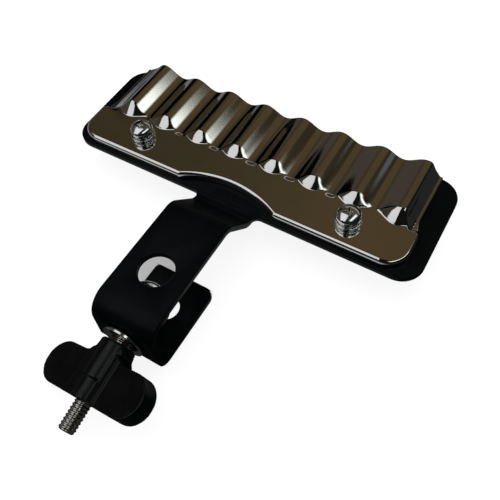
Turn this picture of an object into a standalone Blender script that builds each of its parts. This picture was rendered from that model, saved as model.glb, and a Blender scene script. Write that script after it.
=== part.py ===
"""Metal guiro on a rod clamp: a pressed scraper plate, two screws, a bent bracket and an eye bolt.

Metres, +Z up. The origin is the centre of the rod clamp: on the rod's axis, halfway between the
arm and the return leg. X runs along the scraper plate, -Y points out of the clamp to the wing nut.
"""
import math

import bmesh
import bpy
from mathutils import Matrix, Vector

MM = 0.001
GAP = 0.3 * MM            # clearance between two pieces that touch on the real object

# Bracket: one strip of painted sheet steel
SHEET = 2.4 * MM          # sheet thickness
ARM_W = 25.4 * MM         # width of the arm
RETURN_W = 26.6 * MM      # width of the leg under the arm
RETURN_DX = -0.8 * MM     # its centre, off the arm's
BASE_L = 154.7 * MM       # base plate along X
BASE_D = 49.2 * MM        # base plate along Y
BASE_DX = -0.6 * MM       # base plate's centre, off the arm's centre line
BASE_FRONT_R = 9.0 * MM   # corner radii of the base plate
BASE_BACK_R = 9.5 * MM
BASE_Y = 42.2 * MM        # rod axis to the base plate's front edge
ROOT_R = 2.5 * MM         # fillet where the arm leaves the base plate
RAMP_ROOM = 4.1 * MM      # base plate's front edge to the foot of the 45 degree ramp
RAMP_BEND = 6.0 * MM      # bend radii, on the sheet's middle plane
TOP_BEND = 7.3 * MM
BOTTOM_BEND = 3.8 * MM
CLAMP_GAP = 21.6 * MM     # clear height between the arm and the return leg
WEB_REACH = 19.9 * MM     # rod axis to the web's inner face
RETURN_REACH = 12.2 * MM  # rod axis to the return leg's free end
RETURN_LEFT_R = 1.8 * MM  # its corner radii
RETURN_RIGHT_R = 3.8 * MM
ROD_D = 9.5 * MM          # thickest rod that the return leg takes
ROD_FIT = 0.2 * MM        # radial clearance round it
ROD_HOLE_R = 6.5 * MM     # rod hole in the arm
ROD_V_ANGLE = math.radians(140)  # its notch, which the rod is pulled into

# Scraper plate: one pressed sheet, chrome plated
PLATE_T = 0.9 * MM        # sheet thickness
PLATE_L = 145.4 * MM      # over the flange
PLATE_DX = -2.1 * MM      # flange's centre
PLATE_SET = 1.5 * MM      # base plate's front edge to the lip
PLATE_REACH = 47.1 * MM   # lip to the open back edge
FLANGE_H = 3.6 * MM       # flange's top over the base plate
LIP_R = 1.2 * MM          # outer bend radius of the lip
PLATE_CORNER_R = 8.5 * MM
CUT_W = 43.5 * MM         # shallow arc cut out of the front edge
CUT_DEPTH = 5.8 * MM
CUT_DX = -1.6 * MM
RIDGES = 8
RIDGE_PITCH = 17.4 * MM
RIDGE_DX = -0.4 * MM      # middle of the row of ridges
RIDGE_RISE = 3.3 * MM     # trough to crest
RIDGE_BASE = 2.7 * MM     # trough over the base plate
END_LIFT = 1.6 * MM       # how much higher the outermost crests stand
LIFT_POWER = 4            # how suddenly they rise towards the ends
RIDGE_START = 16.6 * MM   # lip to the ridges' front tips
RIDGE_RAMP = 5.0 * MM     # length over which they reach full height
FOOT_H = 1.5 * MM         # side feet's top over the base plate
RIGHT_HOLD = 1.3 * MM     # last crest's round top, before its steeper side
LEFT_NARROW = 2.3 * MM    # how far each side draws in beside the ridges
RIGHT_NARROW = 2.6 * MM
LIP_SHARE = 0.75          # most of a low foot's height that its rounded edge takes
ROOM_SHARE = 0.5          # least share of the room under a low foot that stays open

# Screw stacks: 10-32 pan head machine screws
SCREW_LEFT_IN = 26.8 * MM  # scraper plate's ends to the screws
SCREW_RIGHT_IN = 25.0 * MM
SCREW_ROOM = 1.2 * MM     # flat washers' edge to the ridges' front tips
SCREW_D = 4.8 * MM
SCREW_LEN = 12.7 * MM
SCREW_POINT = 0.6 * MM
HEAD_D = 9.3 * MM
HEAD_H = 2.9 * MM
HEAD_RIM = 1.1 * MM       # straight rim under the head's dome
RECESS_W = 4.6 * MM       # cross recess
RECESS_SLOT = 1.1 * MM
RECESS_DEPTH = 1.7 * MM
RECESS_TURN = math.radians(25.0)
FLAT_D = 10.0 * MM
FLAT_T = 0.9 * MM
LOCK_D = 8.6 * MM
LOCK_T = 1.2 * MM
LOCK_SPLIT = 0.8 * MM
LOCK_TURN = math.radians(200.0)
NUT_AF = 9.5 * MM
NUT_H = 3.2 * MM

# Eye bolt with its washer and wing nut, on one axis through the web
BOLT_DROOP = math.radians(7.0)  # the loosened bolt hangs below square
BOLT_YAW = math.radians(2.0)    # and points a little to the right
BOLT_DX = -0.6 * MM       # bolt's axis off the arm's centre line at the washer
BOLT_D = 6.0 * MM
BOLT_OUT = 33.4 * MM      # clamp washer to the bolt's tip
BOLT_POINT = 0.8 * MM
EYE_SLACK = 1.4 * MM      # radial clearance of the eye round that rod
EYE_WALL = 2.8 * MM
EYE_H = 6.0 * MM
EYE_EDGE = 1.1 * MM       # rounding of the eye's edges
EYE_ROOM = 0.8 * MM       # eye to the web, with no rod in the clamp
BOLT_FIT = 0.95 * MM      # radial clearance of the bolt in the web and in the washer
WASHER_DX = 0.3 * MM      # washer's centre off the bolt's axis
WASHER_D = 15.9 * MM
WASHER_T = 1.2 * MM
HUB_D = 12.8 * MM
HUB_END_D = 11.4 * MM
HUB_LEN = 21.3 * MM
HUB_STEP = 13.3 * MM      # hub's thrust end to its step
HUB_EDGE = 0.6 * MM
WING_SPAN = 49.4 * MM
WING_T = 6.6 * MM
WING_SET = 5.8 * MM       # hub's thrust end to the wings
WING_ROOT_R = 4.0 * MM    # hollow between the hub's thrust end and the wings
WING_TURN = math.radians(21.0)
INSERT_WALL = 0.9 * MM
INSERT_SHORT = 2.0 * MM   # plastic left over the insert's hidden end

# Everything below follows from the values above
BASE_TOP = SHEET / 2
ARM_Z = (CLAMP_GAP + SHEET) / 2
WEB_Y = -WEB_REACH - SHEET / 2
WEB_FACE = -WEB_REACH - SHEET
LIP_Y = BASE_Y + PLATE_SET
PLATE_BACK = LIP_Y + PLATE_REACH
PLATE_FLOOR = BASE_TOP + GAP
SCREW_X = (PLATE_DX - PLATE_L / 2 + SCREW_LEFT_IN, PLATE_DX + PLATE_L / 2 - SCREW_RIGHT_IN)
TIPS = LIP_Y + RIDGE_START
SCREW_AT_Y = TIPS - SCREW_ROOM - FLAT_D / 2
CLEAR_R = SCREW_D / 2 + GAP
WASHER_Y = WEB_FACE - GAP - WASHER_T / 2
TILT = math.sin(math.hypot(BOLT_DROOP, BOLT_YAW))
ROD_R = ROD_D / 2 + ROD_FIT
ROD_Y = (ROD_D / 2 - ROD_HOLE_R) / math.sin(ROD_V_ANGLE / 2)  # axis of that rod, pressed into the notch


def clear_scene():
    for obj in list(bpy.data.objects):
        bpy.data.objects.remove(obj, do_unlink=True)


def material(name, colour, roughness, metallic):
    mat = bpy.data.materials.new(name)
    mat.use_nodes = True
    shader = mat.node_tree.nodes["Principled BSDF"]
    shader.inputs["Base Color"].default_value = (*colour, 1.0)
    shader.inputs["Roughness"].default_value = roughness
    shader.inputs["Metallic"].default_value = metallic
    return mat


def add_object(name, bm, mat=None, parent=None):
    bmesh.ops.recalc_face_normals(bm, faces=bm.faces)
    mesh = bpy.data.meshes.new(name)
    bm.to_mesh(mesh)
    bm.free()
    obj = bpy.data.objects.new(name, mesh)
    bpy.context.scene.collection.objects.link(obj)
    if mat:
        mesh.materials.append(mat)
    obj.parent = parent
    return obj


def shade(obj, degrees=35):
    obj.data.shade_smooth()
    obj.data.set_sharp_from_angle(angle=math.radians(degrees))


def boolean(obj, other, operation):
    mod = obj.modifiers.new(other.name, "BOOLEAN")
    mod.operation = operation
    mod.object = other
    other.hide_render = True
    other.display_type = "WIRE"


def turned(profile, steps):
    """A closed solid turned about Z from (radius, height) points, given in order around the section."""
    bm = bmesh.new()
    rings = []
    for radius, height in profile:
        if radius == 0:
            rings.append([bm.verts.new((0, 0, height))] * steps)
            continue
        angles = [2 * math.pi * k / steps for k in range(steps)]
        rings.append([bm.verts.new((radius * math.cos(a), radius * math.sin(a), height)) for a in angles])
    closed = profile[0][0] > 0
    pairs = list(zip(rings, rings[1:])) + ([(rings[-1], rings[0])] if closed else [])
    for low, high in pairs:
        for k in range(steps):
            quad = [low[k], low[(k + 1) % steps], high[(k + 1) % steps], high[k]]
            corners = list(dict.fromkeys(quad))
            if len(corners) > 2:
                bm.faces.new(corners)
    return bm


def prism(outline, low, high):
    """A solid of the (x, y) outline between two heights."""
    bm = bmesh.new()
    face = bm.faces.new([bm.verts.new((x, y, low)) for x, y in outline])
    made = bmesh.ops.extrude_face_region(bm, geom=[face])
    tops = [v for v in made["geom"] if isinstance(v, bmesh.types.BMVert)]
    bmesh.ops.translate(bm, verts=tops, vec=(0, 0, high - low))
    return bm


def arc(centre, radius, start, end, steps):
    angles = [math.radians(start + (end - start) * k / steps) for k in range(steps + 1)]
    return [(centre[0] + radius * math.cos(a), centre[1] + radius * math.sin(a)) for a in angles]


def cutter(name, bm, location=(0, 0, 0), parent=None, rotation=(0, 0, 0)):
    obj = add_object(name, bm, parent=parent)
    obj.location = location
    obj.rotation_euler = rotation
    return obj


def smooth(t):
    t = min(max(t, 0.0), 1.0)
    return t * t * (3 - 2 * t)


# Bracket

def rounded_path(corners, radii, steps):
    """Points along a bent path of (y, z) corners, as (length so far, point, direction)."""
    points = []
    for k, corner in enumerate(corners):
        here = Vector(corner)
        if k in (0, len(corners) - 1):
            other = Vector(corners[1 if k == 0 else k - 1])
            way = (other - here if k == 0 else here - other).normalized()
            points.append((here, way))
            continue
        before = (here - Vector(corners[k - 1])).normalized()
        after = (Vector(corners[k + 1]) - here).normalized()
        turn = before.angle_signed(after)
        radius = radii[k - 1]
        start = here - before * radius * math.tan(abs(turn) / 2)
        for step in range(steps + 1):
            a = turn * step / steps
            side = Vector((before.y, -before.x)) * math.copysign(1, turn)
            way = before * math.cos(a) + side * math.sin(abs(a))
            spot = start + before * radius * math.sin(abs(a)) + side * radius * (1 - math.cos(a))
            points.append((spot, way.normalized()))
    lengths = [0.0]
    for (a, _), (b, _) in zip(points, points[1:]):
        lengths.append(lengths[-1] + (b - a).length)
    return [(s, spot, way) for s, (spot, way) in zip(lengths, points)]


def along_path(path, s):
    for (s0, p0, d0), (s1, p1, d1) in zip(path, path[1:]):
        if s <= s1:
            t = (s - s0) / (s1 - s0) if s1 > s0 else 0.0
            return p0.lerp(p1, t), d0.lerp(d1, t).normalized()
    return path[-1][1], path[-1][2]


def strip_path():
    corners = [
        (BASE_Y, 0),
        (BASE_Y - RAMP_ROOM, 0),
        (BASE_Y - RAMP_ROOM - ARM_Z, ARM_Z),
        (WEB_Y, ARM_Z),
        (WEB_Y, -ARM_Z),
        (RETURN_REACH, -ARM_Z),
    ]
    return rounded_path(corners, [RAMP_BEND, RAMP_BEND, TOP_BEND, BOTTOM_BEND], 6)


def corner_cut(radius, left_over):
    """How far a round corner draws an edge in, this far from the corner's end."""
    if left_over >= radius:
        return 0.0
    return radius - math.sqrt(max(radius**2 - (radius - left_over) ** 2, 0))


def strip_edges(path, s):
    """Left and right x of the strip at a length along it, with the root fillet and the round end."""
    end = path[-1][0]
    spot, _ = along_path(path, s)
    grow = smooth((ARM_Z / 2 - spot.y) / ARM_Z) if s > end / 2 else 0.0
    half = (ARM_W + (RETURN_W - ARM_W) * grow) / 2 + corner_cut(ROOT_R, s)
    left = RETURN_DX * grow - half + corner_cut(RETURN_LEFT_R, end - s)
    right = RETURN_DX * grow + half - corner_cut(RETURN_RIGHT_R, end - s)
    return left, right


def make_bracket(paint):
    path = strip_path()
    end = path[-1][0]
    lengths = [s for s, _, _ in path]
    lengths += [ROOT_R * (1 - math.cos(math.radians(a))) for a in (0, 30, 60, 90)]
    for radius in (RETURN_LEFT_R, RETURN_RIGHT_R):
        lengths += [end - radius * (1 - math.sin(math.radians(a))) for a in (0, 22, 45, 67)]
    lengths = sorted(set(round(s, 7) for s in lengths))
    bm = bmesh.new()
    rows = []
    for s in lengths:
        spot, way = along_path(path, s)
        out = Vector((way.y, -way.x)) * SHEET / 2
        left, right = strip_edges(path, s)
        row = [(left, 1), (right, 1), (right, -1), (left, -1)]
        rows.append([bm.verts.new((x, spot.x + side * out.x, spot.y + side * out.y)) for x, side in row])
    for a, b in zip(rows, rows[1:]):
        for k in range(4):
            bm.faces.new([a[k], a[(k + 1) % 4], b[(k + 1) % 4], b[k]])
    bm.faces.new(rows[-1])
    left, right = BASE_DX - BASE_L / 2, BASE_DX + BASE_L / 2
    back = BASE_Y + BASE_D
    outline = arc((right - BASE_FRONT_R, BASE_Y + BASE_FRONT_R), BASE_FRONT_R, -90, 0, 6)
    outline += arc((right - BASE_BACK_R, back - BASE_BACK_R), BASE_BACK_R, 0, 90, 6)
    outline += arc((left + BASE_BACK_R, back - BASE_BACK_R), BASE_BACK_R, 90, 180, 6)
    outline += arc((left + BASE_FRONT_R, BASE_Y + BASE_FRONT_R), BASE_FRONT_R, 180, 270, 6)
    root = rows[0]
    high = [root[1]] + [bm.verts.new((x, y, SHEET / 2)) for x, y in outline] + [root[0]]
    low = [root[2]] + [bm.verts.new((x, y, -SHEET / 2)) for x, y in outline] + [root[3]]
    bm.faces.new(high)
    bm.faces.new(list(reversed(low)))
    for a, b, c, d in zip(high, high[1:], low[1:], low):
        bm.faces.new([a, b, c, d])
    bracket = add_object("bracket", bm, paint)
    spread = ROD_V_ANGLE / 2
    around = math.degrees(spread)
    notch = arc((0, 0), ROD_HOLE_R, -around, 180 + around, 26)
    notch.append((0, -ROD_HOLE_R / math.sin(spread)))
    boolean(bracket, cutter("rod_hole_cutter", prism(notch, ARM_Z - SHEET, ARM_Z + SHEET)), "DIFFERENCE")
    through = [(0, -SHEET), (ROD_R, -SHEET), (ROD_R, SHEET), (0, SHEET)]
    leg = cutter("leg_hole_cutter", turned(through, 28), (0, ROD_Y, -ARM_Z))
    boolean(bracket, leg, "DIFFERENCE")
    bore = BOLT_D / 2 + BOLT_FIT
    web = [(0, -SHEET), (bore, -SHEET), (bore, SHEET), (0, SHEET)]
    hole = cutter("web_hole_cutter", turned(web, 24), (BOLT_DX, WEB_Y, 0), rotation=(math.pi / 2, 0, 0))
    boolean(bracket, hole, "DIFFERENCE")
    for x in SCREW_X:
        shape = turned([(0, -SHEET), (CLEAR_R, -SHEET), (CLEAR_R, SHEET), (0, SHEET)], 20)
        boolean(bracket, cutter("base_hole_cutter", shape, (x, SCREW_AT_Y, 0)), "DIFFERENCE")
    shade(bracket)
    return bracket


# Scraper plate

FIRST_CREST = RIDGE_DX - (RIDGES - 1) * RIDGE_PITCH / 2
LAST_CREST = RIDGE_DX + (RIDGES - 1) * RIDGE_PITCH / 2
FLAT_EDGE = LIP_Y + LIP_R
FLAT_LEFT = PLATE_DX - PLATE_L / 2 + LIP_R
FLAT_RIGHT = PLATE_DX + PLATE_L / 2 - LIP_R
FLAT_CORNER = PLATE_CORNER_R - LIP_R
CUT_R = (CUT_W**2 / 4 + CUT_DEPTH**2) / (2 * CUT_DEPTH)


def side_at(y, right):
    """X of the flat sheet's side at y: round front corner, wide flange, narrower beside the ridges."""
    drawn = smooth((y - TIPS + RIDGE_RAMP / 2) / (2 * RIDGE_RAMP))
    deep = FLAT_EDGE + FLAT_CORNER - y
    corner = FLAT_CORNER - math.sqrt(FLAT_CORNER**2 - deep**2) if deep > 0 else 0.0
    if right:
        return FLAT_RIGHT - RIGHT_NARROW * drawn - corner
    return FLAT_LEFT + LEFT_NARROW * drawn + corner


def front_at(x):
    """Y of the flat sheet's front edge at x, with the arc cut out of it."""
    across = x - CUT_DX
    if abs(across) >= CUT_W / 2:
        return FLAT_EDGE
    return FLAT_EDGE + math.sqrt(CUT_R**2 - across**2) - CUT_R + CUT_DEPTH


def ridge_height(x):
    """Height of the corrugated sheet's top over the base plate."""
    bow = END_LIFT * ((x - RIDGE_DX) / (LAST_CREST - RIDGE_DX)) ** LIFT_POWER
    middle = RIDGE_BASE + RIDGE_RISE / 2
    if FIRST_CREST <= x <= LAST_CREST:
        phase = 2 * math.pi * (x - FIRST_CREST) / RIDGE_PITCH
        return middle + bow + RIDGE_RISE / 2 * math.cos(phase)
    crest = middle + RIDGE_RISE / 2 + END_LIFT
    if x < FIRST_CREST:
        run = FIRST_CREST - side_at(PLATE_BACK, False)
        part = (FIRST_CREST - x) / run
    else:
        run = side_at(PLATE_BACK, True) - LAST_CREST
        part = max(x - LAST_CREST - RIGHT_HOLD, 0) / (run - RIGHT_HOLD)
    part = min(part, 1.0)
    return crest - (crest - FOOT_H) * (1 - math.cos(math.pi * part)) / 2


def plate_height(x, y):
    return FLANGE_H + (ridge_height(x) - FLANGE_H) * smooth((y - TIPS) / RIDGE_RAMP)


def plate_columns(per_ridge, per_side):
    """Column rule: (share of the way from the side to the first crest, or x) from left to right."""
    columns = [("left", k / per_side) for k in range(per_side)]
    inner = [FIRST_CREST + RIDGE_PITCH * k / per_ridge for k in range(per_ridge * (RIDGES - 1) + 1)]
    for edge in (CUT_DX - CUT_W / 2, CUT_DX + CUT_W / 2):
        inner = [x for x in inner if abs(x - edge) > RIDGE_PITCH / per_ridge / 3] + [edge]
    columns += [("x", x) for x in sorted(inner)]
    columns += [("right", k / per_side) for k in range(1, per_side + 1)]
    return columns


def plate_rows(corner_steps, ramp_steps):
    rows = []
    for k in range(corner_steps + 1):
        rows.append(FLAT_EDGE + FLAT_CORNER * (1 - math.cos(math.pi / 2 * k / corner_steps)))
    rows.append(SCREW_AT_Y + (TIPS - SCREW_AT_Y) / 2)
    rows += [TIPS + RIDGE_RAMP * k / ramp_steps for k in range(ramp_steps + 1)]
    rows += [TIPS + 1.5 * RIDGE_RAMP, PLATE_BACK]
    return rows


def plate_point(column, y):
    kind, value = column
    if kind == "left":
        side = side_at(y, False)
        x = side + (FIRST_CREST - side) * value
    elif kind == "right":
        x = LAST_CREST + (side_at(y, True) - LAST_CREST) * value
    else:
        x = value
    settled = SCREW_AT_Y + (TIPS - SCREW_AT_Y) / 2
    if y < settled:
        front = front_at(x)
        y = front + (settled - front) * (y - FLAT_EDGE) / (settled - FLAT_EDGE)
    return x, y


def sheet_drop(x, y):
    """Vertical thickness of the sheet: its real thickness over the cosine of its slope."""
    d = PLATE_T / 20
    slope_x = (plate_height(x + d, y) - plate_height(x - d, y)) / (2 * d)
    slope_y = (plate_height(x, y + d) - plate_height(x, y - d)) / (2 * d)
    return PLATE_T * min(math.sqrt(1 + slope_x**2 + slope_y**2), 1.6)


def make_plate(chrome):
    columns = plate_columns(8, 5)
    rows = plate_rows(3, 4)
    bm = bmesh.new()
    tops, unders = [], []
    for row in rows:
        top, under = [], []
        for column in columns:
            x, y = plate_point(column, row)
            z = BASE_TOP + plate_height(x, y)
            low = max(z - sheet_drop(x, y), PLATE_FLOOR + (z - PLATE_FLOOR - PLATE_T) * ROOM_SHARE)
            top.append(bm.verts.new((x, y, z)))
            under.append(bm.verts.new((x, y, low)))
        tops.append(top)
        unders.append(under)
    for j in range(len(rows) - 1):
        for i in range(len(columns) - 1):
            for grid in (tops, unders):
                bm.faces.new([grid[j][i], grid[j][i + 1], grid[j + 1][i + 1], grid[j + 1][i]])
    edge = [(tops[j][0], unders[j][0]) for j in range(len(rows) - 1, 0, -1)]
    edge += list(zip(tops[0], unders[0]))
    edge += [(tops[j][-1], unders[j][-1]) for j in range(1, len(rows))]
    rings = []
    for k, (top, under) in enumerate(edge):
        a = edge[max(k - 1, 0)][0].co
        b = edge[min(k + 1, len(edge) - 1)][0].co
        out = Vector((b.y - a.y, a.x - b.x, 0)).normalized()
        spot, high, low = top.co.copy(), top.co.z, under.co.z
        fall = min(LIP_R, LIP_SHARE * (high - PLATE_FLOOR))
        inner = max(high - LIP_R, PLATE_FLOOR + ROOM_SHARE * (low - PLATE_FLOOR))
        ring = [top]
        for reach, z in (
            (LIP_R * math.sin(math.pi / 4), high - fall * (1 - math.cos(math.pi / 4))),
            (LIP_R, high - fall),
            (LIP_R, PLATE_FLOOR),
            (LIP_R - PLATE_T, PLATE_FLOOR),
            (LIP_R - PLATE_T, inner),
            ((LIP_R - PLATE_T) * math.sin(math.pi / 4), low - (low - inner) * (1 - math.cos(math.pi / 4))),
        ):
            place = spot + out * reach
            ring.append(bm.verts.new((place.x, place.y, z)))
        ring.append(under)
        rings.append(ring)
    for a, b in zip(rings, rings[1:]):
        for k in range(len(a) - 1):
            bm.faces.new([a[k], b[k], b[k + 1], a[k + 1]])
    for ring in (rings[0], rings[-1]):
        for k in range(3):
            bm.faces.new([ring[k], ring[k + 1], ring[6 - k], ring[7 - k]])
    for i in range(len(columns) - 1):
        bm.faces.new([tops[-1][i], tops[-1][i + 1], unders[-1][i + 1], unders[-1][i]])
    plate = add_object("scraper_plate", bm, chrome)
    for x in SCREW_X:
        shape = turned([(0, 0), (CLEAR_R, 0), (CLEAR_R, 2 * FLANGE_H), (0, 2 * FLANGE_H)], 20)
        boolean(plate, cutter("plate_hole_cutter", shape, (x, SCREW_AT_Y, BASE_TOP)), "DIFFERENCE")
    shade(plate, 30)
    return plate


# Screw stacks

def make_stack(side, x, zinc):
    flange_top = BASE_TOP + FLANGE_H
    flat_z = flange_top + GAP
    lock_z = flat_z + FLAT_T + GAP
    head_z = lock_z + LOCK_T + GAP
    inner = CLEAR_R
    flat = turned([(FLAT_D / 2, 0), (FLAT_D / 2, FLAT_T), (inner, FLAT_T), (inner, 0)], 28)
    flat = add_object("flat_washer_" + side, flat, zinc)
    flat.location = (x, SCREW_AT_Y, flat_z)
    lock = turned([(LOCK_D / 2, 0), (LOCK_D / 2, LOCK_T), (inner, LOCK_T), (inner, 0)], 28)
    lock = add_object("lock_washer_" + side, lock, zinc)
    lock.location = (x, SCREW_AT_Y, lock_z)
    lock.rotation_euler = (0, 0, LOCK_TURN)
    reach = LOCK_D
    lean = LOCK_T
    bm = bmesh.new()
    corners = [(0, -LOCK_SPLIT / 2 - lean, -lean), (0, LOCK_SPLIT / 2 - lean, -lean)]
    corners += [(0, LOCK_SPLIT / 2 + lean, LOCK_T + lean), (0, -LOCK_SPLIT / 2 + lean, LOCK_T + lean)]
    near = [bm.verts.new(c) for c in corners]
    far = [bm.verts.new((reach, c[1], c[2])) for c in corners]
    bm.faces.new(near)
    bm.faces.new(list(reversed(far)))
    for k in range(4):
        bm.faces.new([near[k], near[(k + 1) % 4], far[(k + 1) % 4], far[k]])
    boolean(lock, cutter("split_cutter_" + side, bm, parent=lock), "DIFFERENCE")
    head = HEAD_D / 2
    dome = [(head * math.cos(math.radians(a)), HEAD_RIM + (HEAD_H - HEAD_RIM) * math.sin(math.radians(a)))
            for a in (0, 22, 42, 62, 78)]
    shank = SCREW_D / 2
    profile = [(0, -SCREW_LEN), (shank - SCREW_POINT, -SCREW_LEN), (shank, -SCREW_LEN + SCREW_POINT)]
    profile += [(shank, 0), (head, 0)] + dome + [(0, HEAD_H)]
    screw = add_object("screw_" + side, turned(profile, 28), zinc)
    screw.location = (x, SCREW_AT_Y, head_z)
    half, slot = RECESS_W / 2, RECESS_SLOT / 2
    cross = [(half, -slot), (half, slot), (slot, slot), (slot, half), (-slot, half), (-slot, slot)]
    cross += [(-half, slot), (-half, -slot), (-slot, -slot), (-slot, -half), (slot, -half), (slot, -slot)]
    recess = cutter("recess_cutter_" + side, prism(cross, HEAD_H - RECESS_DEPTH, 2 * HEAD_H), parent=screw)
    recess.rotation_euler = (0, 0, RECESS_TURN)
    boolean(screw, recess, "DIFFERENCE")
    round_r = NUT_AF / 2 / math.cos(math.pi / 6)
    hexagon = [(round_r * math.cos(math.pi * k / 3), round_r * math.sin(math.pi * k / 3)) for k in range(6)]
    nut = add_object("nut_" + side, prism(hexagon, -NUT_H, 0), zinc)
    nut.location = (x, SCREW_AT_Y, -SHEET / 2 - GAP)
    bore = turned([(0, -2 * NUT_H), (inner, -2 * NUT_H), (inner, NUT_H), (0, NUT_H)], 20)
    boolean(nut, cutter("nut_bore_cutter_" + side, bore, parent=nut), "DIFFERENCE")
    for obj in (flat, lock, screw, nut):
        shade(obj)


# Eye bolt, clamp washer and wing nut. In the tilted frame the bolt runs along -Y, and the lengths
# below are distances from the clamp washer's middle, positive outwards.

def on_bolt(profile, steps):
    """A turned solid with its Z turned onto the bolt's outward direction."""
    bm = turned(profile, steps)
    bmesh.ops.transform(bm, matrix=Matrix.Rotation(math.pi / 2, 4, "X"), verts=bm.verts)
    return bm


def make_clamp(steel, zinc, plastic, brass):
    axis = bpy.data.objects.new("bolt_axis", None)
    axis.location = (BOLT_DX, WASHER_Y, 0)
    axis.rotation_euler = (BOLT_DROOP, 0, BOLT_YAW)
    bpy.context.scene.collection.objects.link(axis)

    bar = BOLT_D / 2
    profile = [(WASHER_D / 2, -WASHER_T / 2), (WASHER_D / 2, WASHER_T / 2)]
    profile += [(bar + BOLT_FIT, WASHER_T / 2), (bar + BOLT_FIT, -WASHER_T / 2)]
    washer = add_object("clamp_washer", on_bolt(profile, 40), zinc)
    washer.location = (BOLT_DX + WASHER_DX, WASHER_Y, 0)
    shade(washer)

    eye_bore = ROD_R + EYE_SLACK
    eye_outer = eye_bore + EYE_WALL
    eye_y = EYE_ROOM + eye_outer - WEB_REACH
    eye_at = (WASHER_Y - eye_y) / math.cos(BOLT_DROOP)
    side, edge = EYE_H / 2 - EYE_EDGE, EYE_EDGE
    section = arc((eye_outer - edge, side), edge, 0, 90, 3) + arc((eye_bore + edge, side), edge, 90, 180, 3)
    section += arc((eye_bore + edge, -side), edge, 180, 270, 3)
    section += arc((eye_outer - edge, -side), edge, 270, 360, 3)
    bolt = add_object("eye_bolt", turned(section, 36), steel, axis)
    bolt.location = (0, -eye_at, 0)
    root = eye_bore + EYE_WALL / 2
    tip = BOLT_OUT - eye_at
    rod = [(0, root), (bar, root), (bar, tip - BOLT_POINT), (bar - BOLT_POINT, tip), (0, tip)]
    boolean(bolt, cutter("shank_body", on_bolt(rod, 24), parent=bolt), "UNION")
    shade(bolt)

    thrust = WASHER_T / 2 + GAP
    bore_r = bar + GAP
    insert_r = bore_r + INSERT_WALL
    insert_at = thrust + insert_r * TILT
    hub_at = thrust + HUB_D / 2 * TILT
    insert_end = hub_at + HUB_LEN - INSERT_SHORT
    body = [(insert_r, 0), (insert_r, insert_end - insert_at), (bore_r, insert_end - insert_at), (bore_r, 0)]
    insert = add_object("wing_nut_insert", on_bolt(body, 32), brass, axis)
    insert.location = (0, -insert_at, 0)
    shade(insert)

    pocket_r = insert_r + GAP
    pocket = insert_end + GAP - hub_at
    wide, slim, edge = HUB_D / 2, HUB_END_D / 2, HUB_EDGE
    hub = [(wide - edge, 0), (wide, edge), (wide, HUB_STEP), (slim, HUB_STEP + edge)]
    hub += [(slim, HUB_LEN - edge), (slim - edge, HUB_LEN)]
    solid = add_object("wing_nut", on_bolt([(0, 0)] + hub + [(0, HUB_LEN)], 40), plastic, axis)
    solid.location = (0, -hub_at, 0)
    tip = (HUB_LEN - WING_SET) / 2
    reach = WING_SPAN / 2 - tip
    middle = -(HUB_LEN + WING_SET) / 2
    seat = math.sqrt(slim**2 - (WING_T / 2) ** 2)
    hollow_r, hollow_y = WING_ROOT_R, WING_ROOT_R - WING_SET
    outline = arc((reach, middle), tip, 90, -90, 16) + arc((-reach, middle), tip, -90, -270, 16)
    outline += arc((-seat - hollow_r, hollow_y), hollow_r, -90, 0, 5)
    outline += arc((seat + hollow_r, hollow_y), hollow_r, 180, 270, 5)
    wings = cutter("wings_body", prism(outline, -WING_T / 2, WING_T / 2), parent=solid)
    wings.rotation_euler = (0, -WING_TURN, 0)
    boolean(solid, wings, "UNION")
    hollow = [(0, -HUB_LEN), (pocket_r, -HUB_LEN), (pocket_r, pocket), (bore_r, pocket)]
    hollow += [(bore_r, 2 * HUB_LEN), (0, 2 * HUB_LEN)]
    boolean(solid, cutter("wing_nut_bore_cutter", on_bolt(hollow, 32), parent=solid), "DIFFERENCE")
    shade(solid)


def main():
    clear_scene()
    paint = material("black satin paint", (0.012, 0.013, 0.013), 0.38, 0.0)
    chrome = material("chrome plate", (0.86, 0.85, 0.83), 0.07, 1.0)
    zinc = material("bright zinc", (0.74, 0.74, 0.72), 0.2, 1.0)
    steel = material("nickel plated steel", (0.70, 0.68, 0.64), 0.22, 1.0)
    brass = material("plated insert", (0.68, 0.66, 0.60), 0.3, 1.0)
    plastic = material("black plastic", (0.014, 0.016, 0.017), 0.42, 0.0)
    make_bracket(paint)
    make_plate(chrome)
    for side, x in zip(("left", "right"), SCREW_X):
        make_stack(side, x, zinc)
    make_clamp(steel, zinc, plastic, brass)


main()
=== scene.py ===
"""Looks of a metal guiro on a rod clamp: pressed chrome plate, black bracket, screws and wing nut."""
import math

import bmesh
import bpy
from mathutils import Matrix, Vector


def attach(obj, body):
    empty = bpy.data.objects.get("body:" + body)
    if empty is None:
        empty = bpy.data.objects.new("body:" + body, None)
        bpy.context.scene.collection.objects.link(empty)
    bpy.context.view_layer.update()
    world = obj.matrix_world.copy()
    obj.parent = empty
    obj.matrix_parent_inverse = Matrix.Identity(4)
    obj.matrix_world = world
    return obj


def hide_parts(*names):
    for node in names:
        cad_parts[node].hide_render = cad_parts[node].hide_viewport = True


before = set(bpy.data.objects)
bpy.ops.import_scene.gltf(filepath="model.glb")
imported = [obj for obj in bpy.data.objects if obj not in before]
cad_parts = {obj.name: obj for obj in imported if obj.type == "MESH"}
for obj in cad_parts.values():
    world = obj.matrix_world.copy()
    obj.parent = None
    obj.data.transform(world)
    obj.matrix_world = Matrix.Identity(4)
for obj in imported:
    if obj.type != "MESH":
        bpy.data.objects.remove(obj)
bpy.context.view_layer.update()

MM = 0.001
GAP = 0.3 * MM

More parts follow.
